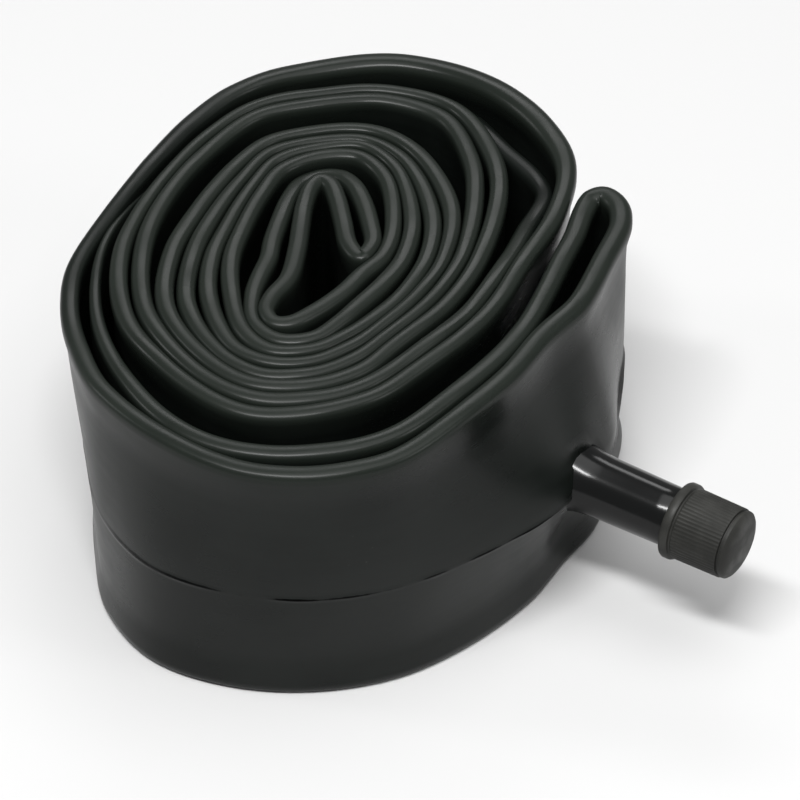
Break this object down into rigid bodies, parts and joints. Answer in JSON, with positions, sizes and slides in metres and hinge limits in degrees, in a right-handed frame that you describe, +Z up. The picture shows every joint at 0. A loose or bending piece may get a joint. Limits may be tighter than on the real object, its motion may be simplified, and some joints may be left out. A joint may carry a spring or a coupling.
{
  "type": "bicycle inner tube",
  "caption": "Butyl bicycle inner tube, pressed flat, doubled and rolled up on its edge, with a rubber-covered Schrader valve and dust cap.",
  "frame": {"origin": "on the surface that the roll stands on, below the middle of the object's box", "axes": "+X along the valve, out of the tube; +Z up, along the width of the flat tube"},
  "size_m": [0.0932, 0.0832, 0.039],
  "materials": {
    "butyl": "satin, dusted black butyl",
    "cover_rubber": "smooth moulded rubber, slightly glossy",
    "brass": "turned, bright",
    "steel": "drawn wire",
    "black_plastic": "matt moulded",
    "seal_rubber": "matt"
  },
  "bodies": {
    "rolled_tube": {"tube": "butyl", "stem_jacket": "cover_rubber", "stem_tube": "brass", "core_plug": "brass", "core_barrel": "brass", "core_packing": "seal_rubber", "core_spring": "steel"},
    "pin": {"core_pin": "steel", "core_cup": "brass", "core_seal": "seal_rubber"},
    "cap_liner": {"cap_seal": "seal_rubber"},
    "cap": {"dust_cap": "black_plastic"}
  },
  "joints": [
    {"name": "pin_press", "type": "slide", "parent": "rolled_tube", "child": "pin", "axis": [-1, 0, 0], "range_m": [0, 0.0015], "stiffness_N_per_m": 600, "springref_m": -0.004, "deforming": ["core_spring"]},
    {"name": "cap_travel", "type": "slide", "parent": "rolled_tube", "child": "cap_liner", "axis": [1, 0, 0], "range_m": [0, 0.00794]},
    {"name": "cap_turn", "type": "hinge", "parent": "cap_liner", "child": "cap", "pos_m": [0.04145, 0.00214, 0.0175], "axis": [1, 0, 0], "range_deg": [0, 3600]}
  ],
  "couplings": [
    {"joint": "cap_turn", "follows": "cap_travel", "rad_per_m": 7915.8}
  ]
}
